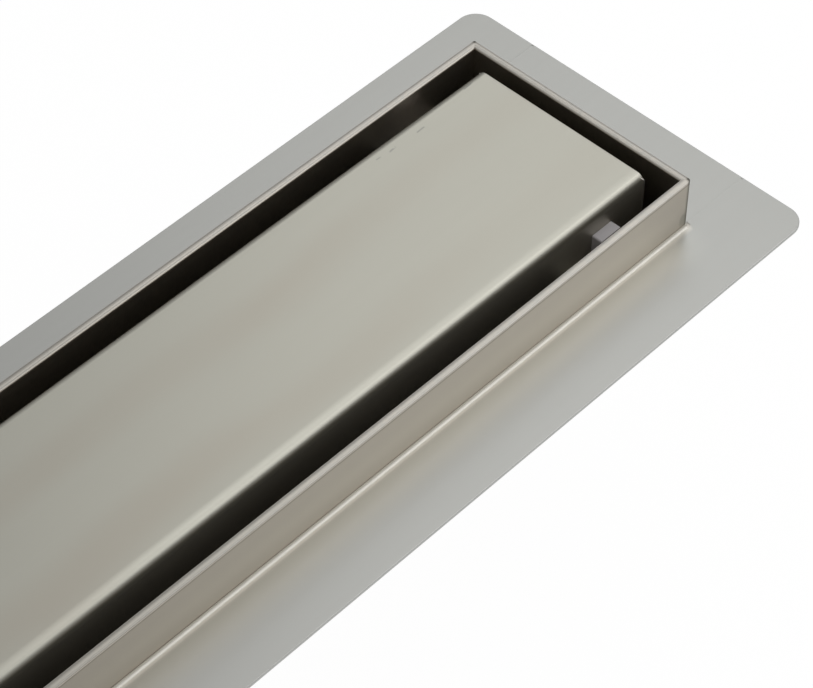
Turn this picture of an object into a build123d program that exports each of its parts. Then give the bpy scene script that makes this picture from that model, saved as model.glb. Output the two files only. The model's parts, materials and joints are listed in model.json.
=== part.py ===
from build123d import *
import os

# Linear shower drain: a folded trough with a welded sealing flange, a plain lift-out cover
# on spacer clips, and a screwed-on odour trap with a side outlet.
# Millimetres. +X runs along the drain, +Z is up, the origin is under the middle of the trap.

# Trough, folded from sheet with welded end walls; its upper edge is the visible rim
rim_length = 600.0
rim_width = 70.0
rim_height = 16.0
trough_sheet = 1.6
trough_fold_radius = 2.4
rim_corner_radius = 0.5
rim_edge_break = 0.25
end_depth = 30.0
floor_fall = 5.0
flat_floor_length = 84.0

# Recess drawn into the flat middle of the floor, with the outlet hole
recess_depth = 4.4
recess_clearance = 0.7
recess_draw_radius = 1.2
outlet_hole_clearance = 1.0

# Sealing flange welded round the foot of the rim
flange_sheet = 0.8
flange_side_margin = 20.0
flange_end_margin = 22.2
flange_corner_radius = 5.5
flange_edge_break = 0.2
weld_radius = 0.8
weld_lip = 0.1

# Cover, a folded tray turned upside down
cover_sheet = 1.2
cover_side_gap = 6.8
cover_end_gap = 5.4
cover_proud = 0.4
cover_flap = 15.0
cover_bend_radius = 2.2
cover_end_radius = 0.3

# Spacer clips that grip the cover's flaps and carry it on the support bridges
clip_length = 7.0
clip_drop = 6.6
clip_pad = 3.0
clip_grip_clearance = 0.05
clip_leg = 2.2
clip_leg_height = 7.0
clip_base = 3.0
clip_edge_radius = 0.5
clip_from_cover_end = 15.0
inner_clip_x = 60.0

# Support bridges across the trough
bridge_length = 20.0
bridge_sheet = 1.5
bridge_leg = 8.0
bridge_bend_radius = 2.0

# Outlet ring, screwed down through the floor into the trap
ring_thread_diameter = 50.0
ring_flange_diameter = 60.0
ring_flange_thickness = 2.6
ring_sleeve_length = 18.0
ring_bore_diameter = 44.4
ring_seat_depth = 2.2
ring_seat_ledge = 1.5
ring_notch_width = 5.0
ring_notch_depth = 1.5
ring_notch_count = 6

# Flat gaskets above and below the floor
upper_gasket_thickness = 1.5
lower_gasket_thickness = 2.0
gasket_hole_clearance = 0.5
gasket_edge_margin = 0.5

# Trap body with its side spigot
trap_height = 56.0
trap_diameter = 86.0
trap_wall = 2.5
trap_land_diameter = 64.0
trap_shoulder = 6.0
trap_bottom_chamfer = 4.0
trap_rib_count = 9
trap_rib_width = 2.4
trap_rib_depth = 2.0
trap_rib_from_spigot = 48.0
neck_length = 13.0
neck_wall = 2.8
neck_thread_clearance = 0.1
spigot_diameter = 50.0
spigot_wall = 2.2
spigot_length = 50.0
spigot_chamfer = 1.2
spigot_stop_length = 4.0
spigot_stop_step = 2.0

# Dip tube that hangs in the outlet ring, and its seal
dip_seat_clearance = 0.3
dip_skirt_clearance = 0.3
dip_skirt_length = 9.5
dip_mouth_wall = 1.1
dip_mouth_depth = 3.0
dip_funnel_depth = 10.0
dip_tube_diameter = 26.0
dip_tube_wall = 1.8
dip_tube_end = 12.0
dip_collar_height = 2.5
dip_collar_step = 1.0
seal_width = 2.4
seal_height = 2.8
seal_depth = 6.8

# Trap cup clipped over the lower end of the dip tube
cup_ring_clearance = 0.8
cup_wall = 1.6
cup_ground_gap = 3.5
cup_rim_drop = 5.0
cup_rib_count = 3
cup_rib_width = 2.0
cup_rib_clearance = 0.1

# Hair strainer over the dip tube
strainer_sheet = 0.8
strainer_edge_margin = 0.6
strainer_lip_depth = 2.4
strainer_lip_clearance = 0.3
strainer_hole_diameter = 4.5
strainer_inner_ring = 8.0
strainer_outer_ring = 14.5
strainer_inner_holes = 6
strainer_outer_holes = 12
strainer_knob_diameter = 7.0
strainer_knob_height = 5.0
strainer_knob_radius = 1.0

# Heights, worked out upwards from the underside of the trap
trap_top = trap_height
recess_underside = trap_top + lower_gasket_thickness
recess_floor = recess_underside + trough_sheet
middle_floor = recess_floor + recess_depth
end_floor = middle_floor + floor_fall
rim_top = end_floor + end_depth
flange_top = rim_top - rim_height
flange_underside = flange_top - flange_sheet
cover_top = rim_top + cover_proud
flap_bottom = cover_top - cover_flap
clip_bottom = flap_bottom - clip_base
ring_seating = recess_floor + upper_gasket_thickness
ring_top = ring_seating + ring_flange_thickness
ring_sleeve_bottom = ring_seating - ring_sleeve_length

# Plan sizes shared by several pieces
rim_inner_length = rim_length - 2 * trough_sheet
rim_inner_width = rim_width - 2 * trough_sheet
flange_length = rim_length + 2 * flange_end_margin
flange_width = rim_width + 2 * flange_side_margin
cover_length = rim_inner_length - 2 * cover_end_gap
cover_width = rim_inner_width - 2 * cover_side_gap
end_clip_x = cover_length / 2 - clip_from_cover_end
support_x = (-end_clip_x, -inner_clip_x, inner_clip_x, end_clip_x)
recess_radius = ring_flange_diameter / 2 + recess_clearance
outlet_hole_radius = ring_thread_diameter / 2 + outlet_hole_clearance
gasket_hole_radius = outlet_hole_radius + gasket_hole_clearance
ring_bore_radius = ring_bore_diameter / 2

os.makedirs("parts", exist_ok=True)


def save(piece, name):
    """Label a finished piece and write it under its own name."""
    piece.label = name
    export_step(piece, f"parts/{name}.step")


def trough_section(x, floor_height, half_width, fold_radius):
    """Return the face across the trough at x, from its floor to the rim, rounded at both floor folds."""
    with BuildSketch(Plane.YZ.offset(x)) as section:
        with BuildLine():
            Polyline(
                (-half_width, rim_top),
                (-half_width, floor_height),
                (half_width, floor_height),
                (half_width, rim_top),
                close=True,
            )
        make_face()
        fillet(section.vertices().group_by(Axis.Y)[0], fold_radius)
    return section.sketch


def trough_sections(half_length, half_width, lowering, fold_radius):
    """Return the four faces that the trough's falling floor runs through, lowered by the given amount."""
    stations = (
        (-half_length, end_floor),
        (-flat_floor_length / 2, middle_floor),
        (flat_floor_length / 2, middle_floor),
        (half_length, end_floor),
    )
    return [
        trough_section(x, floor - lowering, half_width, fold_radius)
        for x, floor in stations
    ]


# Trough: outside and inside are lofts through sections that follow the floor's fall to the middle
with BuildPart() as trough:
    outside = trough_sections(rim_length / 2, rim_width / 2, trough_sheet, trough_fold_radius)
    loft(outside, ruled=True)
    fillet(trough.edges().filter_by(Axis.Z), rim_corner_radius)
    inner_fold = trough_fold_radius - trough_sheet
    inside = trough_sections(rim_inner_length / 2, rim_inner_width / 2, 0, inner_fold)
    loft(inside, ruled=True, mode=Mode.SUBTRACT)
    fillet(trough.edges().group_by(Axis.Z)[-1], rim_edge_break)
    with BuildSketch(Plane.XY.offset(recess_underside)):
        Circle(recess_radius + trough_sheet)
    extrude(amount=recess_depth)
    with BuildSketch(Plane.XY.offset(recess_floor)):
        Circle(recess_radius)
    extrude(amount=recess_depth, mode=Mode.SUBTRACT)
    fillet(trough.faces().sort_by(Axis.Z)[0].edges(), recess_draw_radius)
    with BuildSketch(Plane.XY.offset(recess_underside)):
        Circle(outlet_hole_radius)
    extrude(amount=trough_sheet, mode=Mode.SUBTRACT)
save(trough.part, "trough")

# Flange: plate with the rim's outline cut out, and a hollow weld fillet left round the rim's foot
with BuildPart() as flange:
    with BuildSketch(Plane.XY.offset(flange_underside)):
        RectangleRounded(flange_length, flange_width, flange_corner_radius)
    extrude(amount=flange_sheet)
    fillet(flange.edges().group_by(Axis.Z)[-1], flange_edge_break)
    with BuildSketch(Plane.XY.offset(flange_top)):
        RectangleRounded(
            rim_length + 2 * weld_lip,
            rim_width + 2 * weld_lip,
            rim_corner_radius + weld_lip,
        )
    extrude(amount=weld_radius + weld_lip)
    plate_face = flange.faces().filter_by(Axis.Z).sort_by(Axis.Z)[-2]
    weld_root = plate_face.inner_wires()[0].edges()
    fillet(weld_root, weld_radius)
    with BuildSketch(Plane.XY.offset(flange_underside)):
        RectangleRounded(rim_length, rim_width, rim_corner_radius)
    extrude(amount=flange_sheet + weld_radius + weld_lip, mode=Mode.SUBTRACT)
save(flange.part, "flange")

# Cover: top sheet with four flaps, long bends along the sides and closed, ground corners
with BuildPart() as cover:
    with BuildSketch(Plane.XY.offset(flap_bottom)):
        Rectangle(cover_length, cover_width)
    extrude(amount=cover_flap)
    fillet(cover.edges().group_by(Axis.Z)[-1].filter_by(Axis.X), cover_bend_radius)
    for end in (0, -1):
        end_outline = cover.faces().sort_by(Axis.X)[end].edges()
        fillet(end_outline - cover.edges().group_by(Axis.Z)[0], cover_end_radius)
    with BuildSketch(Plane.XY.offset(flap_bottom)):
        Rectangle(cover_length - 2 * cover_sheet, cover_width - 2 * cover_sheet)
    extrude(amount=cover_flap - cover_sheet, mode=Mode.SUBTRACT)
    underside = cover.faces().filter_by(Axis.Z).sort_by(Axis.Z)[-2]
    fillet(underside.edges().filter_by(Axis.X), cover_bend_radius - cover_sheet)
save(cover.part, "cover")


def clip_section(side):
    """Return the clip's outline across the drain: a thick outer pad, a slot for the flap and an inner leg."""
    pad_face = cover_width / 2 + clip_pad
    slot_outer = cover_width / 2 + clip_grip_clearance
    slot_inner = cover_width / 2 - cover_sheet - clip_grip_clearance
    leg_face = slot_inner - clip_leg
    leg_top = flap_bottom + clip_leg_height
    pad_top = cover_top - clip_drop
    return [
        (side * leg_face, clip_bottom),
        (side * pad_face, clip_bottom),
        (side * pad_face, pad_top),
        (side * slot_outer, pad_top),
        (side * slot_outer, flap_bottom),
        (side * slot_inner, flap_bottom),
        (side * slot_inner, leg_top),
        (side * leg_face, leg_top),
    ]


# Spacer clips: one pair of moulded clips over each support bridge
clip_places = [(x, side) for x in support_x for side in (-1, 1)]
for number, (x, side) in enumerate(clip_places, start=1):
    with BuildPart() as spacer_clip:
        with BuildSketch(Plane.YZ.offset(x - clip_length / 2)):
            with BuildLine():
                Polyline(*clip_section(side), close=True)
            make_face()
        extrude(amount=clip_length)
        pad_edges = spacer_clip.faces().filter_by(Axis.Z).sort_by(Axis.Z)[-1].edges()
        fillet(pad_edges.filter_by(Axis.Y), clip_edge_radius)
    save(spacer_clip.part, f"spacer_clip_{number}")

# Support bridges: flat strips across the trough with both ends turned down against its walls
for number, x in enumerate(support_x, start=1):
    with BuildPart() as support_bridge:
        with BuildSketch(Plane.YZ.offset(x - bridge_length / 2)) as strip:
            with Locations((0, clip_bottom)):
                Rectangle(rim_inner_width, bridge_leg, align=(Align.CENTER, Align.MAX))
            fillet(strip.vertices().group_by(Axis.Y)[-1], bridge_bend_radius)
            with Locations((0, clip_bottom - bridge_sheet)):
                Rectangle(
                    rim_inner_width - 2 * bridge_sheet,
                    bridge_leg,
                    align=(Align.CENTER, Align.MAX),
                    mode=Mode.SUBTRACT,
                )
        extrude(amount=bridge_length)
        inner_face = support_bridge.faces().filter_by(Axis.Z).sort_by(Axis.Z)[-2]
        fillet(inner_face.edges().filter_by(Axis.X), bridge_bend_radius - bridge_sheet)
    save(support_bridge.part, f"support_bridge_{number}")

# Outlet ring: flange with spanner notches, threaded sleeve and a stepped seat for the dip tube
ring_seat_radius = ring_bore_radius + ring_seat_ledge
with BuildPart() as outlet_ring:
    with BuildSketch(Plane.XZ):
        with BuildLine():
            Polyline(
                (ring_seat_radius, ring_top),
                (ring_flange_diameter / 2, ring_top),
                (ring_flange_diameter / 2, ring_seating),
                (ring_thread_diameter / 2, ring_seating),
                (ring_thread_diameter / 2, ring_sleeve_bottom),
                (ring_bore_radius, ring_sleeve_bottom),
                (ring_bore_radius, ring_top - ring_seat_depth),
                (ring_seat_radius, ring_top - ring_seat_depth),
                close=True,
            )
        make_face()
    revolve(axis=Axis.Z)
    with BuildSketch(Plane.XY.offset(ring_seating)):
        with PolarLocations(ring_flange_diameter / 2, ring_notch_count):
            Rectangle(2 * ring_notch_depth, ring_notch_width)
    extrude(amount=ring_flange_thickness, mode=Mode.SUBTRACT)
save(outlet_ring.part, "outlet_ring")

# Gaskets: flat rings pressed against the recess from above and from below
with BuildPart() as upper_gasket:
    with BuildSketch(Plane.XY.offset(recess_floor)):
        Circle(ring_flange_diameter / 2 - ring_notch_depth)
        Circle(gasket_hole_radius, mode=Mode.SUBTRACT)
    extrude(amount=upper_gasket_thickness)
save(upper_gasket.part, "upper_gasket")

with BuildPart() as lower_gasket:
    with BuildSketch(Plane.XY.offset(trap_top)):
        Circle(trap_land_diameter / 2 - gasket_edge_margin)
        Circle(gasket_hole_radius, mode=Mode.SUBTRACT)
    extrude(amount=lower_gasket_thickness)
save(lower_gasket.part, "lower_gasket")

# Trap body: ribbed pot with a threaded neck, and a pipe spigot with a stop collar at its side
trap_radius = trap_diameter / 2
trap_floor = trap_wall
neck_radius = ring_thread_diameter / 2 + neck_thread_clearance
neck_outer_radius = neck_radius + neck_wall
spigot_bore_radius = spigot_diameter / 2 - spigot_wall
spigot_height = spigot_diameter / 2 + spigot_stop_step
with BuildPart() as trap_body:
    with BuildSketch(Plane.XZ):
        with BuildLine():
            Polyline(
                (0, 0),
                (trap_radius - trap_bottom_chamfer, 0),
                (trap_radius, trap_bottom_chamfer),
                (trap_radius, trap_top - trap_shoulder),
                (trap_land_diameter / 2, trap_top),
                (0, trap_top),
                close=True,
            )
        make_face()
    revolve(axis=Axis.Z)
    rib_range = 360 - 2 * trap_rib_from_spigot
    with BuildSketch(Plane.XY.offset(trap_bottom_chamfer)):
        with PolarLocations(trap_radius, trap_rib_count, trap_rib_from_spigot, rib_range, endpoint=True):
            Rectangle(2 * trap_rib_depth, trap_rib_width)
    extrude(amount=trap_top - trap_shoulder - trap_bottom_chamfer)
    with BuildSketch(Plane.YZ):
        with Locations((0, spigot_height)):
            Circle(spigot_diameter / 2)
    extrude(amount=trap_radius + spigot_length)
    with BuildSketch(Plane.YZ):
        with Locations((0, spigot_height)):
            Circle(spigot_diameter / 2 + spigot_stop_step)
    extrude(amount=trap_radius + spigot_stop_length)
    chamfer(trap_body.faces().sort_by(Axis.X)[-1].edges(), spigot_chamfer)
    with BuildSketch(Plane.XZ):
        with BuildLine():
            Polyline(
                (0, trap_floor),
                (trap_radius - trap_wall, trap_floor),
                (trap_radius - trap_wall, trap_top - trap_shoulder - trap_wall),
                (trap_land_diameter / 2, trap_top - trap_wall),
                (neck_outer_radius, trap_top - trap_wall),
                (neck_outer_radius, trap_top - neck_length),
                (neck_radius, trap_top - neck_length),
                (neck_radius, trap_top),
                (0, trap_top),
                close=True,
            )
        make_face()
    revolve(axis=Axis.Z, mode=Mode.SUBTRACT)
    with BuildSketch(Plane.YZ.offset(neck_outer_radius)):
        with Locations((0, spigot_height)):
            Circle(spigot_bore_radius)
    extrude(amount=trap_radius + spigot_length - neck_outer_radius, mode=Mode.SUBTRACT)
save(trap_body.part, "trap_body")

# Dip tube: funnel with a hanging flange and a seal groove, then a straight tube with an end collar
dip_flange_radius = ring_seat_radius - dip_seat_clearance
dip_skirt_radius = ring_bore_radius - dip_skirt_clearance
dip_mouth_radius = dip_skirt_radius - dip_mouth_wall
dip_outer_radius = dip_tube_diameter / 2
dip_bore_radius = dip_outer_radius - dip_tube_wall
dip_end = dip_tube_end
collar_top = dip_end + dip_collar_height
seal_middle = ring_top - seal_depth
groove_half = seal_height / 2
groove_radius = ring_bore_radius - seal_width
with BuildPart() as dip_tube:
    with BuildSketch(Plane.XZ):
        with BuildLine():
            Polyline(
                (dip_mouth_radius, ring_top),
                (dip_flange_radius, ring_top),
                (dip_flange_radius, ring_top - ring_seat_depth),
                (dip_skirt_radius, ring_top - ring_seat_depth),
                (dip_skirt_radius, seal_middle + groove_half),
                (groove_radius, seal_middle + groove_half),
                (groove_radius, seal_middle - groove_half),
                (dip_skirt_radius, seal_middle - groove_half),
                (dip_skirt_radius, ring_top - dip_skirt_length),
                (dip_outer_radius, ring_top - dip_funnel_depth - dip_mouth_depth),
                (dip_outer_radius, collar_top),
                (dip_outer_radius + dip_collar_step, collar_top),
                (dip_outer_radius + dip_collar_step, dip_end),
                (dip_bore_radius, dip_end),
                (dip_bore_radius, ring_top - dip_funnel_depth),
                (dip_mouth_radius, ring_top - dip_mouth_depth),
                close=True,
            )
        make_face()
    revolve(axis=Axis.Z)
save(dip_tube.part, "dip_tube")

# Dip tube seal: square-cut ring in the groove, against the outlet ring's bore
with BuildPart() as dip_tube_seal:
    with BuildSketch(Plane.XY.offset(seal_middle - groove_half)):
        Circle(ring_bore_radius)
        Circle(groove_radius, mode=Mode.SUBTRACT)
    extrude(amount=seal_height)
save(dip_tube_seal.part, "dip_tube_seal")

# Trap cup: thin pot whose ribs are snapped over the dip tube's collar
cup_radius = ring_bore_radius - cup_ring_clearance
cup_bottom = trap_floor + cup_ground_gap
cup_rim = ring_sleeve_bottom - cup_rim_drop
rib_inner = dip_outer_radius + cup_rib_clearance
rib_outer = cup_radius - cup_wall / 2
with BuildPart() as trap_cup:
    with BuildSketch(Plane.XY.offset(cup_bottom)):
        Circle(cup_radius)
    extrude(amount=cup_rim - cup_bottom)
    with BuildSketch(Plane.XY.offset(cup_bottom + cup_wall)):
        Circle(cup_radius - cup_wall)
    extrude(amount=cup_rim - cup_bottom - cup_wall, mode=Mode.SUBTRACT)
    with BuildSketch(Plane.XY.offset(collar_top)):
        with PolarLocations((rib_inner + rib_outer) / 2, cup_rib_count):
            Rectangle(rib_outer - rib_inner, cup_rib_width)
    extrude(amount=cup_rim - collar_top)
save(trap_cup.part, "trap_cup")

# Strainer: perforated disc with a locating lip and a lifting knob
strainer_radius = dip_flange_radius - strainer_edge_margin
lip_radius = dip_mouth_radius - strainer_lip_clearance
with BuildPart() as strainer:
    with BuildSketch(Plane.XY.offset(ring_top)):
        Circle(strainer_radius)
        with PolarLocations(strainer_inner_ring, strainer_inner_holes):
            Circle(strainer_hole_diameter / 2, mode=Mode.SUBTRACT)
        with PolarLocations(strainer_outer_ring, strainer_outer_holes):
            Circle(strainer_hole_diameter / 2, mode=Mode.SUBTRACT)
    extrude(amount=strainer_sheet)
    with BuildSketch(Plane.XY.offset(ring_top)):
        Circle(lip_radius)
        Circle(lip_radius - strainer_sheet, mode=Mode.SUBTRACT)
    extrude(amount=-strainer_lip_depth)
    with BuildSketch(Plane.XY.offset(ring_top + strainer_sheet)):
        Circle(strainer_knob_diameter / 2)
    extrude(amount=strainer_knob_height)
    fillet(strainer.edges().group_by(Axis.Z)[-1], strainer_knob_radius)
save(strainer.part, "strainer")
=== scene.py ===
"""Linear shower drain: satin steel finishes, weld seams, studio and camera, in metres."""
import json
import math

import bpy
import numpy as np
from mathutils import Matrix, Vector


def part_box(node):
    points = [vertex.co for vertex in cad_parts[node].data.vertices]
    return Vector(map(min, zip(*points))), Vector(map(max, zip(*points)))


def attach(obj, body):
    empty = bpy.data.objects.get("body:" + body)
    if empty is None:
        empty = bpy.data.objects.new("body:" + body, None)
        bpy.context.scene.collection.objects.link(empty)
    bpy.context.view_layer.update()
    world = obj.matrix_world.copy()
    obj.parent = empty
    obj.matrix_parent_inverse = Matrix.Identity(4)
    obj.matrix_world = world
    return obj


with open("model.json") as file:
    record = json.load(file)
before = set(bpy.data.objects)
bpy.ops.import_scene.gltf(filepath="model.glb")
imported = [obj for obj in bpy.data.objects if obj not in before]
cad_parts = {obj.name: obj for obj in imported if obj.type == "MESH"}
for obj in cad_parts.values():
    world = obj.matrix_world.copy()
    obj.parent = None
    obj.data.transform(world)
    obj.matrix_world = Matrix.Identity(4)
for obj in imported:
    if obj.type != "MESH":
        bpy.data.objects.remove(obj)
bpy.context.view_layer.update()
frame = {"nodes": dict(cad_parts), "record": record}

MM = 0.001
TURN = 2 * math.pi

# Places on the drain, taken from the frame
flange_low, flange_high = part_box("flange")
trough_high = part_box("trough")[1]
cover_low, cover_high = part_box("cover")
FLANGE_SHEET = 0.8 * MM
FLANGE_TOP = flange_low[2] + FLANGE_SHEET
FLANGE_HALF_LENGTH = flange_high[0]
RIM_TOP = trough_high[2]
RIM_HALF_LENGTH = trough_high[0]
RIM_HALF_WIDTH = trough_high[1]
RIM_SHEET = 1.6 * MM
COVER_TOP = cover_high[2]
COVER_HALF_LENGTH = cover_high[0]
COVER_HALF_WIDTH = cover_high[1]
COVER_BEND = 2.2 * MM

# Tones of the metal, as linear colours
FLANGE_TONE = (0.412, 0.414, 0.395)
TROUGH_TONE = (0.530, 0.486, 0.428)
COVER_TONE = (0.434, 0.426, 0.3735)
WELD_TONE = (0.52, 0.50, 0.45)
# Painted light: the flange paled beside the rim's long sides
FLANGE_LIGHT_TONE = (0.545, 0.55, 0.51)
# Painted highlight on the weld round the rim's foot
FILLET_HIGHLIGHT_TONE = (0.71, 0.69, 0.635)
# Painted highlight where the weld runs out on the flange
WELD_EDGE_HIGHLIGHT_TONE = (0.93, 0.90, 0.83)
GROUND_TONE = (0.447, 0.434, 0.400)
# Painted shade: the rim's upper edge along the middle of the long sides
MIDDLE_EDGE_SHADE_TONE = (0.318, 0.303, 0.268)
# Painted shade: the line below the rim's upper edge
RIM_SHADE_LINE_TONE = (0.385, 0.35, 0.30)
# Painted shade: the line in the corner above the weld
FOOT_SHADE_LINE_TONE = (0.27, 0.245, 0.21)
# Painted shade: the rim's wall towards its foot
RIM_FOOT_SHADE_TONE = (0.41, 0.375, 0.328)
# Painted shade: the trough's inner faces
INSIDE_SHADE_TONE = (0.44, 0.40, 0.34)
CORNER_TONE = (0.22, 0.21, 0.18)
SCORCH_TONE = (0.33, 0.315, 0.275)
CRATER_TONE = (0.13, 0.125, 0.11)
FLAP_TONE = (0.45, 0.43, 0.37)
BAND_TONE = (0.411, 0.389, 0.335)
FLECK_TONE = (0.27, 0.27, 0.25)

# Tones of the plastics and the rubber, which is between two blacks
CLIP_TONE = (0.60, 0.58, 0.60)
TRAP_TONE = (0.33, 0.34, 0.35)
RUBBER_TONES = (0.012, 0.012, 0.012), (0.03, 0.03, 0.03)


class Value:
    """A shader socket that takes part in sums, products and masks; each operation adds one node."""

    def __init__(self, finish, socket):
        self.finish = finish
        self.socket = socket

    def maths(self, operation, first, second=None):
        inputs = {0: first} if second is None else {0: first, 1: second}
        return self.finish.node("ShaderNodeMath", {"operation": operation}, inputs)

    def __add__(self, other):
        return self.maths("ADD", self, other)

    __radd__ = __add__

    def __sub__(self, other):
        return self.maths("SUBTRACT", self, other)

    def __rsub__(self, other):
        return self.maths("SUBTRACT", other, self)

    def __mul__(self, other):
        return self.maths("MULTIPLY", self, other)

    __rmul__ = __mul__

    def __abs__(self):
        return self.maths("ABSOLUTE", self)

    def larger(self, other):
        return self.maths("MAXIMUM", self, other)

    def root(self):
        return self.maths("SQRT", self)

    def step(self, low, high):
        """Smooth rise from 0 at low to 1 at high; it falls when low is the larger."""
        start, end = sorted((low, high))
        limits = (0, 1) if low < high else (1, 0)
        inputs = {"Value": self, "From Min": start, "From Max": end, "To Min": limits[0], "To Max": limits[1]}
        return self.finish.node("ShaderNodeMapRange", {"interpolation_type": "SMOOTHSTEP"}, inputs)

    def band(self, middle, half_width, soft):
        """1 within half_width of middle, falling to 0 over the soft margin."""
        return abs(self - middle).step(half_width + soft, half_width)


class Finish:
    """One procedural material: node() adds any node, and the shader's own sockets take the constants."""

    def __init__(self, name, **constants):
        self.material = bpy.data.materials.new(name)
        self.material.use_nodes = True
        self.tree = self.material.node_tree
        self.shader = self.tree.nodes["Principled BSDF"]
        for socket, value in constants.items():
            self.shader.inputs[socket].default_value = value
        self.locate("Object")

    def locate(self, coordinates):
        """Read the place on the surface, as a vector and as its x, y and z."""
        self.place = self.node("ShaderNodeTexCoord", output=coordinates)
        self.x, self.y, self.z = (
            self.node("ShaderNodeSeparateXYZ", None, {0: self.place}, output=axis) for axis in range(3)
        )

    def node(self, kind, settings=None, inputs=None, output=0):
        """Add a node, set its settings, then fill its sockets with numbers or links."""
        made = self.tree.nodes.new(kind)
        for key, value in (settings or {}).items():
            setattr(made, key, value)
        for key, value in (inputs or {}).items():
            if isinstance(value, Value):
                self.tree.links.new(value.socket, made.inputs[key])
            else:
                made.inputs[key].default_value = value
        return Value(self, made.outputs[output])

    def noise(self, scale, detail=2.0, roughness=0.5, stretch=(1, 1, 1)):
        """Noise from 0 to 1 at scale features a metre, stretched along the axes."""
        place = self.node("ShaderNodeMapping", None, {"Vector": self.place, "Scale": stretch})
        inputs = {"Vector": place, "Scale": scale, "Detail": detail, "Roughness": roughness}
        return self.node("ShaderNodeTexNoise", None, inputs)

    def blend(self, first, second, amount):
        """Mix two colours by a value; a plain colour is three numbers."""
        first, second = (part if isinstance(part, Value) else (*part, 1) for part in (first, second))
        return self.node("ShaderNodeMix", {"data_type": "RGBA"}, {0: amount, 6: first, 7: second}, output=2)

    def feed(self, socket, value):
        """Link a value to one of the shader's sockets."""
        self.tree.links.new(value.socket, self.shader.inputs[socket])

    def bump(self, height, distance, **over):
        """Bump from a height and its distance in metres, laid over another bump when one is given."""
        inputs = {"Height": height, "Distance": distance, "Strength": 1.0, **over}
        return self.node("ShaderNodeBump", None, inputs)


GRAIN_STRETCH = (0.02, 1, 1)
GRAIN_SCALE, STREAK_SCALE, CLOUD_SCALE = 2600, 420, 14
GRAIN_DEPTH = 0.0015 * MM
MOULD_DEPTH = 0.01 * MM
TONE_DRIFT = 0.05


def satin_steel(name, colour, roughness, marks=(), rounding=None):
    """Satin stainless sheet with a fine grain along the drain and faint clouds of tone.

    Each mark is a function that takes the finish and gives a mask, a colour and a change of roughness;
    rounding is one that takes the finish and gives a bump for the grain to lie over.
    """
    finish = Finish(name, Metallic=1.0)
    grain = finish.noise(GRAIN_SCALE, 2, 0.6, GRAIN_STRETCH)
    streak = finish.noise(STREAK_SCALE, 2, 0.5, GRAIN_STRETCH)
    cloud = finish.noise(CLOUD_SCALE, 3, 0.55)
    dark = [(1 - TONE_DRIFT) * part for part in colour]
    light = [(1 + TONE_DRIFT) * part for part in colour]
    tone = finish.blend(dark, light, cloud * 0.6 + streak * 0.2 + grain * 0.2)
    gloss = roughness + (grain - 0.5) * 0.08 + (cloud - 0.5) * 0.05
    for mark in marks:
        mask, mark_colour, rougher = mark(finish)
        tone = finish.blend(tone, mark_colour, mask)
        gloss = gloss + mask * rougher
    finish.feed("Base Color", tone)
    finish.feed("Roughness", gloss)
    over = {"Normal": rounding(finish)} if rounding else {}
    finish.feed("Normal", finish.bump(grain * 0.6 + streak * 0.4, GRAIN_DEPTH, **over))
    return finish.material


def from_rim(finish):
    """Distance outwards from the rim's outer faces."""
    return (abs(finish.x) - RIM_HALF_LENGTH).larger(abs(finish.y) - RIM_HALF_WIDTH)


def outside_rim(finish):
    """1 on the flange, 0 on the sheets inside the rim."""
    return from_rim(finish).step(-0.5 * MM, -0.1 * MM)


def flange_light_by_rim(finish):
    """The flange along the rim's long sides, paled and faintly yellowed: painted light against the dark
    reflection of the rim's wall.
    """
    near = (abs(finish.y) - RIM_HALF_WIDTH).step(12 * MM, 1 * MM)
    along = abs(finish.x).step(RIM_HALF_LENGTH + 3 * MM, RIM_HALF_LENGTH - 14 * MM)
    return near * along * outside_rim(finish), FLANGE_LIGHT_TONE, 0.0


def fillet_highlight(finish):
    """The weld round the rim's foot and the flange next to it, painted pale as a highlight, and rougher."""
    along = (abs(finish.x) - RIM_HALF_LENGTH).larger(0) * 2
    across = (abs(finish.y) - RIM_HALF_WIDTH).larger(0)
    near = (along * along + across * across).root().step(2.4 * MM, 0.7 * MM)
    return near * outside_rim(finish), FILLET_HIGHLIGHT_TONE, 0.2


def weld_edge_highlight(finish):
    """The palest line, a painted highlight where the weld runs out on the flange along the rim's long sides.
    """
    line = (abs(finish.y) - RIM_HALF_WIDTH).band(0.95 * MM, 0.15 * MM, 0.55 * MM)
    along = abs(finish.x).step(RIM_HALF_LENGTH - 4 * MM, RIM_HALF_LENGTH - 16 * MM)
    return line * along * 0.6, WELD_EDGE_HIGHLIGHT_TONE, 0.0


def ground_edge(finish):
    """1 on the rim's upper edge, where it was ground after folding, fading out 0.95 mm below it."""
    return finish.z.step(RIM_TOP - 0.95 * MM, RIM_TOP - 0.5 * MM)


def ground_rim(finish):
    """The rim's upper edge, ground bright by hand, so its brightness is uneven."""
    uneven = 0.55 + finish.noise(650, 2, 0.6).step(0.3, 0.7) * 0.45
    return ground_edge(finish) * uneven, GROUND_TONE, 0.0


def from_ends(finish):
    """Rises from 0 at the rim's ends to 1 along its middle, where the painted shade is deepest."""
    return abs(finish.x).step(RIM_HALF_LENGTH + 20 * MM, RIM_HALF_LENGTH - 250 * MM)


def middle_edge_shade(finish):
    """The rim's upper edge darkened along the middle of the long sides: painted shade."""
    return ground_edge(finish) * from_ends(finish) * 0.8, MIDDLE_EDGE_SHADE_TONE, 0.0


def rim_shade_line(finish):
    """A faint dark line of painted shade below the rim's upper edge."""
    return finish.z.band(RIM_TOP - 1.35 * MM, 0.12 * MM, 0.22 * MM), RIM_SHADE_LINE_TONE, 0.05


def foot_shade_line(finish):
    """A dark line of painted shade in the corner above the weld, deepest along the middle of the long sides.
    """
    line = finish.z.band(FLANGE_TOP + 1.05 * MM, 0.12 * MM, 0.3 * MM)
    return line * (0.65 + from_ends(finish) * 0.35), FOOT_SHADE_LINE_TONE, 0.1


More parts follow.
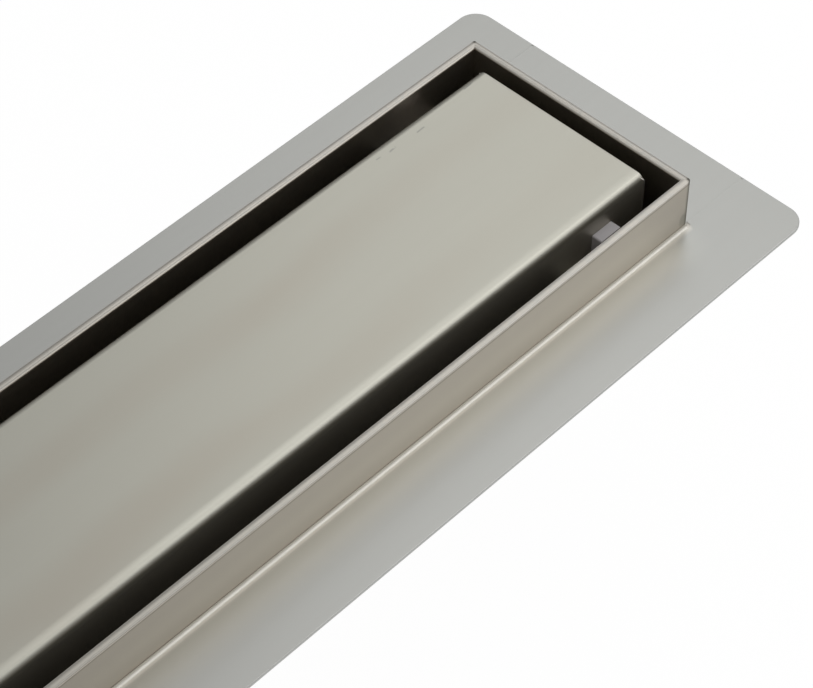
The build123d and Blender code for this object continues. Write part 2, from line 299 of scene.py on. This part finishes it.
def rim_foot_shade(finish):
    """The rim's wall darkened with painted shade towards the weld at its foot."""
    return finish.z.step(FLANGE_TOP + 8 * MM, FLANGE_TOP + 0.8 * MM) * 0.9, RIM_FOOT_SHADE_TONE, 0.0


ROUNDED_HEIGHT = 1.2 * MM
ROUNDING_ACROSS = 0.16
ROUNDING_UPWARD = 0.7


def rim_rounding(finish):
    """The rim's upper edge rounded off by grinding.

    The height in mm falls as the square of the way from the middle of the edge to its inner or outer
    side, and as the square of the way up the last 1.2 mm of the faces beside it.
    """
    half = RIM_SHEET / 2
    across = (from_rim(finish) + half) * (1 / half)
    upward = (finish.z - (RIM_TOP - ROUNDED_HEIGHT)).larger(0) * (1 / MM)
    return finish.bump(across * across * -ROUNDING_ACROSS - upward * upward * ROUNDING_UPWARD, 1 * MM)


def inside_shade(finish):
    """The trough's inner faces, darkened with painted shade."""
    inner_width = RIM_HALF_WIDTH - RIM_SHEET
    inner_length = RIM_HALF_LENGTH - RIM_SHEET
    across = abs(finish.y).step(inner_width + 0.3 * MM, inner_width + 0.1 * MM)
    along = abs(finish.x).step(inner_length + 0.3 * MM, inner_length + 0.1 * MM)
    below = finish.z.step(RIM_TOP - 0.2 * MM, RIM_TOP - 0.9 * MM)
    return across * along * below, INSIDE_SHADE_TONE, 0.0


def corner_weld_line(finish):
    """The welded upright corners of the rim, darker than the sheet beside them."""
    along = abs(finish.x).step(RIM_HALF_LENGTH - 1.4 * MM, RIM_HALF_LENGTH - 0.4 * MM)
    across = abs(finish.y).step(RIM_HALF_WIDTH - 1.4 * MM, RIM_HALF_WIDTH - 0.4 * MM)
    return along * across, CORNER_TONE, 0.1


SCORCH_HALF_LENGTH = 1.5 * MM
SCORCH_HALF_HEIGHT = 2.6 * MM


def corner_scorch(finish):
    """The scorched patch that the weld left on the rim's long sides, at the foot of each upright corner.

    An ellipse, 1.5 mm each way along the side and 2.6 mm each way upwards, that fades at its edge.
    """
    along = (abs(finish.x) - (RIM_HALF_LENGTH - 1.6 * MM)) * (1 / SCORCH_HALF_LENGTH)
    upward = (finish.z - (FLANGE_TOP + 3 * MM)) * (1 / SCORCH_HALF_HEIGHT)
    patch = (along * along + upward * upward).root().step(1.1, 0.6)
    outer_face = abs(finish.y).step(RIM_HALF_WIDTH - 0.3 * MM, RIM_HALF_WIDTH - 0.1 * MM)
    return patch * outer_face * 0.6, SCORCH_TONE, 0.1


def corner_crater(finish):
    """The dark end of each corner weld at the rim's upper edge."""
    along = abs(finish.x).step(RIM_HALF_LENGTH - 0.9 * MM, RIM_HALF_LENGTH - 0.5 * MM)
    across = abs(finish.y).step(RIM_HALF_WIDTH - 0.9 * MM, RIM_HALF_WIDTH - 0.5 * MM)
    return along * across * finish.z.step(RIM_TOP - 1.9 * MM, RIM_TOP - 1.1 * MM), CRATER_TONE, 0.15


def dull_flaps(finish):
    """The cover's flaps below the bends, and its underside."""
    return finish.z.step(COVER_TOP - 0.2 * MM, COVER_TOP - COVER_BEND), FLAP_TONE, 0.15


FOLD_ROLL_WIDTH = 3.8 * MM
FOLD_ROLL_FALL = 0.055 * MM


def fold_roll(finish):
    """The cover's sheet drawn down towards its -Y fold.

    The height falls as the square of the way past a line FOLD_ROLL_WIDTH from the edge.
    """
    way = (-1 * finish.y - (COVER_HALF_WIDTH - FOLD_ROLL_WIDTH)).larger(0) * (1 / MM)
    return finish.bump(-1 * way * way, FOLD_ROLL_FALL)


BAND_PLACE = 13 * MM
BAND_SPACING = 26 * MM
BAND_SLANT = 0.03
BAND_WAVER = 14 * MM


def rolling_bands(finish):
    """Two faint warm bands that rolling left along the cover's sheet.

    They are slanted, waver by a few millimetres, come and go along the sheet and fade towards its ends.
    """
    waver = (finish.noise(16, 1, 0.5) - 0.5) * BAND_WAVER
    way = finish.y - (finish.x - RIM_HALF_LENGTH) * BAND_SLANT - BAND_PLACE + waver
    bands = way.band(0, 1 * MM, 8 * MM) + (way + BAND_SPACING).band(0, 1 * MM, 8 * MM)
    fade = 0.55 + finish.noise(45, 2, 0.5, (0.35, 1, 1)).step(0.35, 0.65) * 0.45
    ends = 0.35 + abs(finish.x).step(RIM_HALF_LENGTH - 30 * MM, RIM_HALF_LENGTH - 100 * MM) * 0.65
    return bands * fade * ends, BAND_TONE, 0.0


def scratch(x, y, length, width, turn):
    """A faint broken fleck on the cover's top, length by width in mm and turned by degrees.

    Its x is measured from the rim's end, its y from the drain's middle line, both in mm.
    """
    def mark(finish):
        cosine, sine = math.cos(math.radians(turn)), math.sin(math.radians(turn))
        east = finish.x - (RIM_HALF_LENGTH + x * MM)
        north = finish.y - y * MM
        along = (east * cosine + north * sine).band(0, length / 2 * MM, 0.4 * MM)
        across = (north * cosine - east * sine).band(0, width / 2 * MM, 0.15 * MM)
        broken = finish.noise(900, 2, 0.6).step(0.36, 0.56)
        return along * across * broken * 0.7, FLECK_TONE, 0.0
    return mark


COVER_FLECKS = [
    scratch(-13.5, 24.6, 2.6, 0.30, 3),
    scratch(-24.0, 25.0, 1.6, 0.20, -6),
    scratch(-32.5, 22.5, 2.4, 0.30, 2),
    scratch(-42.0, 22.7, 2.0, 0.35, 5),
    scratch(-46.5, 23.0, 1.2, 0.20, -4),
]


def moulded_plastic(name, colour, roughness, speckle):
    """Moulded plastic: fine spark-eroded texture and a faint drift of colour."""
    finish = Finish(name)
    fine = finish.noise(2200, 2, 0.6)
    drift = finish.noise(30, 2, 0.5)
    dark = [(1 - speckle) * part for part in colour]
    light = [(1 + speckle) * part for part in colour]
    finish.feed("Base Color", finish.blend(dark, light, fine * 0.4 + drift * 0.6))
    finish.feed("Roughness", roughness + (fine - 0.5) * 0.12)
    finish.feed("Normal", finish.bump(fine, MOULD_DEPTH))
    return finish.material


def black_rubber():
    """Seal rubber: dull black with a fine bloom."""
    finish = Finish("black_rubber")
    fine = finish.noise(1500, 3, 0.6)
    finish.feed("Base Color", finish.blend(*RUBBER_TONES, fine))
    finish.feed("Roughness", 0.62 + fine * 0.2)
    finish.feed("Normal", finish.bump(fine, MOULD_DEPTH))
    return finish.material


FLANGE_STEEL = satin_steel("flange_sheet", FLANGE_TONE, 0.36, [flange_light_by_rim, fillet_highlight, weld_edge_highlight])
TROUGH_MARKS = [
    rim_foot_shade,
    foot_shade_line,
    rim_shade_line,
    ground_rim,
    middle_edge_shade,
    corner_scorch,
    corner_weld_line,
    corner_crater,
    inside_shade,
]
TROUGH_STEEL = satin_steel("trough_sheet", TROUGH_TONE, 0.38, TROUGH_MARKS, rim_rounding)
COVER_MARKS = [rolling_bands, dull_flaps, *COVER_FLECKS]
COVER_STEEL = satin_steel("cover_sheet", COVER_TONE, 0.35, COVER_MARKS, fold_roll)
WELD_STEEL = satin_steel("weld_metal", WELD_TONE, 0.48)
CLIP_PLASTIC = moulded_plastic("clip_moulding", CLIP_TONE, 0.45, 0.04)
TRAP_PLASTIC = moulded_plastic("trap_moulding", TRAP_TONE, 0.42, 0.06)
RUBBER = black_rubber()

SLOT_FINISH = {
    "satin_steel": FLANGE_STEEL,
    "trough_steel": TROUGH_STEEL,
    "cover_steel": COVER_STEEL,
    "clip_plastic": CLIP_PLASTIC,
    "trap_plastic": TRAP_PLASTIC,
    "seal_rubber": RUBBER,
}


def dress_nodes():
    """Give every carried-over solid the finish of its material slot."""
    for part in frame["record"]["subparts"]:
        mesh = frame["nodes"][part["node"]].data
        mesh.materials.clear()
        mesh.materials.append(SLOT_FINISH[part["material_slot"]])


dress_nodes()


def grid_piece(name, points, finish):
    """Object from rows of closed rings, rows by columns by 3, with the first and last ring filled."""
    rows, columns = points.shape[:2]
    row, column = np.meshgrid(np.arange(rows - 1), np.arange(columns), indexing="ij")
    following = (column + 1) % columns
    corners = (
        row * columns + column,
        row * columns + following,
        (row + 1) * columns + following,
        (row + 1) * columns + column,
    )
    faces = np.stack(corners, axis=-1).reshape(-1, 4).tolist()
    faces.append(list(range(columns))[::-1])
    faces.append(list(range((rows - 1) * columns, rows * columns)))
    mesh = bpy.data.meshes.new(name)
    mesh.from_pydata(points.reshape(-1, 3).tolist(), [], faces)
    mesh.polygons.foreach_set("use_smooth", [True] * len(faces))
    mesh.materials.append(finish)
    piece = bpy.data.objects.new(name, mesh)
    bpy.context.scene.collection.objects.link(piece)
    return piece


def at_corner(rings, end_sign, side_sign, turned):
    """Rings worked out at the +X +Y corner, mirrored to another one.

    Where the product of the signs is turned, each ring runs the other way, so that faces point outwards.
    """
    mirrored = rings * np.array([end_sign, side_sign, 1])
    return mirrored[:, ::-1] if end_sign * side_sign == turned else mirrored


SEAM_HALF_WIDTH = 0.45 * MM
SEAM_HEIGHT = 0.025 * MM
SEAM_ROOT = 0.3 * MM


def seam_bead(name, end_sign, side_sign):
    """Ground weld seam in the flange, from a rim corner out to the end edge.

    Across the seam the top is a raised cosine, height (1 + cos pi u) / 2 for u from -1 to 1, and the
    root is flat inside the sheet. Along it the middle line wavers as the sum of two slow sines, and
    the crown rises and falls by a fifth.
    """
    along = np.linspace(0, 1, 90)[:, None]
    across = np.linspace(-1, 1, 13)[None, :]
    start = RIM_HALF_LENGTH + 1.2 * MM
    length = FLANGE_HALF_LENGTH - 0.4 * MM - start
    middle = RIM_HALF_WIDTH - 0.6 * MM + 0.10 * MM * np.sin(TURN * 1.3 * along + side_sign)
    middle = middle + 0.06 * MM * np.sin(TURN * 3.1 * along + 2 * end_sign)
    crown = SEAM_HEIGHT * (1 + 0.2 * np.sin(TURN * 7 * along + end_sign + side_sign))
    top_height = FLANGE_TOP - 0.01 * MM + crown * (1 + np.cos(math.pi * across)) / 2
    x = start + length * along + 0 * across
    y = middle + SEAM_HALF_WIDTH * across
    top = np.stack([x, y, top_height], axis=-1)
    root = np.stack([x, y, np.full_like(x, FLANGE_TOP - SEAM_ROOT)], axis=-1)[:, ::-1]
    rings = np.concatenate([top, root], axis=1)
    return grid_piece(name, at_corner(rings, end_sign, side_sign, 1), FLANGE_STEEL)


DROP_HALF_LENGTH = 1.3 * MM
DROP_HALF_WIDTH = 1.1 * MM
DROP_HALF_HEIGHT = 0.36 * MM


def weld_drop(name, end_sign, side_sign):
    """Flattened drop of weld at the foot of a rim corner.

    An ellipsoid by latitude and longitude, whose outline is pulled in and out three times round by
    six parts in a hundred; it is sunk in the sheet so that only its low crown shows.
    """
    latitude = np.linspace(-0.48, 0.48, 15)[:, None] * math.pi
    longitude = np.linspace(0, TURN, 36, endpoint=False)[None, :]
    outline = 1 + 0.06 * np.sin(3 * longitude + side_sign)
    x = RIM_HALF_LENGTH + 0.1 * MM + DROP_HALF_LENGTH * np.cos(latitude) * np.cos(longitude) * outline
    y = RIM_HALF_WIDTH - 0.1 * MM + DROP_HALF_WIDTH * np.cos(latitude) * np.sin(longitude) * outline
    z = FLANGE_TOP - DROP_HALF_HEIGHT / 2 + DROP_HALF_HEIGHT * np.sin(latitude) + 0 * longitude
    rings = np.stack([x, y, z], axis=-1)
    return grid_piece(name, at_corner(rings, end_sign, side_sign, -1), WELD_STEEL)


BEAD_RADIUS = 0.24 * MM
BEAD_INSET = 0.1 * MM
BEAD_RIPPLES = 14


def corner_bead(name, end_sign, side_sign):
    """Weld bead that closes an upright corner of the cover, from its bend to the flaps' edge.

    Rings of a radius that ripples by a tenth along the bead, swells by two thirds at the upper end as
    a bell curve, and closes at both ends as the root of 1 - v to the sixteenth, for v from -1 to 1
    along it. The middle line is a little inside the corner, and leans in with the bend's arc.
    """
    along = np.linspace(-0.998, 0.998, 160)[:, None]
    around = np.linspace(0, TURN, 16, endpoint=False)[None, :]
    low, high = cover_low[2] + 0.2 * MM, COVER_TOP - 0.45 * MM
    height = (low + high) / 2 + (high - low) / 2 * along
    above = np.clip(height - (COVER_TOP - COVER_BEND), 0, None)
    lean = BEAD_INSET + COVER_BEND - np.sqrt(COVER_BEND ** 2 - above ** 2)
    ripple = 1 + 0.1 * np.sin(TURN * BEAD_RIPPLES * along / 2)
    swell = 1 + 0.67 * np.exp(-((1 - along) / 0.18) ** 2)
    radius = BEAD_RADIUS * ripple * swell * np.sqrt(1 - along ** 16)
    x = COVER_HALF_LENGTH - lean + radius * np.cos(around)
    y = COVER_HALF_WIDTH - lean + radius * np.sin(around)
    z = height + 0 * around
    rings = np.stack([x, y, z], axis=-1)
    return grid_piece(name, at_corner(rings, end_sign, side_sign, -1), WELD_STEEL)


WELDS = (
    (seam_bead, "flange_seam", "satin_steel"),
    (weld_drop, "weld_drop", "satin_steel"),
    (corner_bead, "cover_bead", "cover_steel"),
)


def weld_corners():
    """A seam and a drop of weld at each of the rim's corners, and a bead at each of the cover's."""
    corners = [(end_sign, side_sign) for end_sign in (-1, 1) for side_sign in (-1, 1)]
    for number, (end_sign, side_sign) in enumerate(corners, start=1):
        for make, name, slot in WELDS:
            piece = make(f"{name}_{number}", end_sign, side_sign)
            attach(piece, "root")


weld_corners()

# Camera at the photograph's angle, aimed at a point on the flange's plane
IMAGE_WIDTH = 813
FOCAL_PIXELS = 2859.8
SENSOR_WIDTH = 36.0
CAMERA_AZIMUTH = math.radians(-46.215)
CAMERA_ELEVATION = math.radians(48.629)
CAMERA_DISTANCE = 664.285 * MM
AIM_FROM_RIM_END = 74.0 * MM
AIM_ACROSS = -12.6 * MM


def place_camera():
    """Long lens looking down on the drain's +X end from its -X, -Y side."""
    aim = np.array([RIM_HALF_LENGTH - AIM_FROM_RIM_END, AIM_ACROSS, FLANGE_TOP])
    flat = math.cos(CAMERA_ELEVATION)
    back = np.array([
        math.sin(CAMERA_AZIMUTH) * flat,
        -math.cos(CAMERA_AZIMUTH) * flat,
        math.sin(CAMERA_ELEVATION),
    ])
    data = bpy.data.cameras.new("camera")
    data.sensor_width = SENSOR_WIDTH
    data.lens = FOCAL_PIXELS / IMAGE_WIDTH * SENSOR_WIDTH
    data.clip_start = 0.01
    camera = bpy.data.objects.new("camera", data)
    camera.location = aim + CAMERA_DISTANCE * back
    camera.rotation_euler = (math.pi / 2 - CAMERA_ELEVATION, 0, CAMERA_AZIMUTH)
    bpy.context.scene.collection.objects.link(camera)
    bpy.context.scene.camera = camera


def softbox(name, place, aim, size, watts):
    """Soft rectangular lamp at place, facing aim."""
    data = bpy.data.lights.new(name, "AREA")
    data.shape = "RECTANGLE"
    data.size, data.size_y = size
    data.energy = watts
    lamp = bpy.data.objects.new(name, data)
    lamp.location = place
    x, y, z = np.subtract(aim, place) / np.linalg.norm(np.subtract(aim, place))
    lamp.rotation_euler = (math.acos(-z), 0, math.atan2(-x, y))
    bpy.context.scene.collection.objects.link(lamp)


class Studio(Finish):
    """The world's node tree, with the same node() method; x, y and z are the direction looked in."""

    def __init__(self, world):
        world.use_nodes = True
        self.tree = world.node_tree
        self.locate("Generated")


def ray(finish, kind):
    """1 for rays of the kind, 0 for the others."""
    return finish.node("ShaderNodeLightPath", output=kind)


STUDIO_GREY = 0.30
REFLECTED_WHITE = 0.50
FULL_WHITE_UP = 0.80
SOFTBOX_AIM = (0.24, 0, 0.09)

# Name, place, size and watts of each lamp
SOFTBOXES = (
    ("overhead_softbox", (0.82, -0.15, 1.0), (0.9, 0.9), 2.03),
    ("end_softbox", (1.02, 0.62, 1.0), (0.55, 0.5), 0.66),
    ("side_softbox", (0.55, 0.22, 1.0), (0.45, 0.35), 0.24),
    ("front_softbox", (0.79, -0.72, 0.7), (0.7, 0.75), 1.72),
)


def light_studio():
    """Dim grey studio: white to the camera, and half white to what reflects or passes light upwards."""
    world = bpy.data.worlds.new("studio")
    bpy.context.scene.world = world
    studio = Studio(world)
    overhead = studio.z.step(0.0, FULL_WHITE_UP)
    bounced = ray(studio, "Is Glossy Ray") + ray(studio, "Is Transmission Ray")
    share = ray(studio, "Is Camera Ray") + bounced * overhead * REFLECTED_WHITE
    grey = studio.node("ShaderNodeBackground", None, {"Color": (STUDIO_GREY, STUDIO_GREY, STUDIO_GREY, 1)})
    white = studio.node("ShaderNodeBackground", None, {"Color": (1, 1, 1, 1)})
    mixed = studio.node("ShaderNodeMixShader", None, {0: share, 1: grey, 2: white})
    studio.tree.links.new(mixed.socket, studio.tree.nodes["World Output"].inputs["Surface"])
    for name, place, size, watts in SOFTBOXES:
        softbox(name, place, SOFTBOX_AIM, size, watts)


FLOOR_HALF = 3.0
FLOOR_PAINT = 0.9
FLOOR_GLOW = 1.025
FLOOR_GLOW_SHARE = 0.95


def lay_floor():
    """Plain white floor, white to the camera and in reflections, that keeps a faint shadow of the drain."""
    mesh = bpy.data.meshes.new("floor")
    corners = [(FLOOR_HALF * x, FLOOR_HALF * y, 0) for x, y in ((-1, -1), (1, -1), (1, 1), (-1, 1))]
    mesh.from_pydata(corners, [], [(0, 1, 2, 3)])
    floor = bpy.data.objects.new("floor", mesh)
    bpy.context.scene.collection.objects.link(floor)
    finish = Finish("floor_white", Roughness=0.9)
    finish.shader.inputs["Base Color"].default_value = (FLOOR_PAINT, FLOOR_PAINT, FLOOR_PAINT, 1)
    seen = ray(finish, "Is Camera Ray") + ray(finish, "Is Glossy Ray") + ray(finish, "Is Transmission Ray")
    white = finish.node("ShaderNodeEmission", None, {"Color": (1, 1, 1, 1), "Strength": FLOOR_GLOW})
    paint = Value(finish, finish.shader.outputs[0])
    mixed = finish.node("ShaderNodeMixShader", None, {0: seen * FLOOR_GLOW_SHARE, 1: paint, 2: white})
    finish.tree.links.new(mixed.socket, finish.tree.nodes["Material Output"].inputs["Surface"])
    mesh.materials.append(finish.material)


place_camera()
light_studio()
lay_floor()

bpy.context.scene.view_settings.view_transform = "Standard"
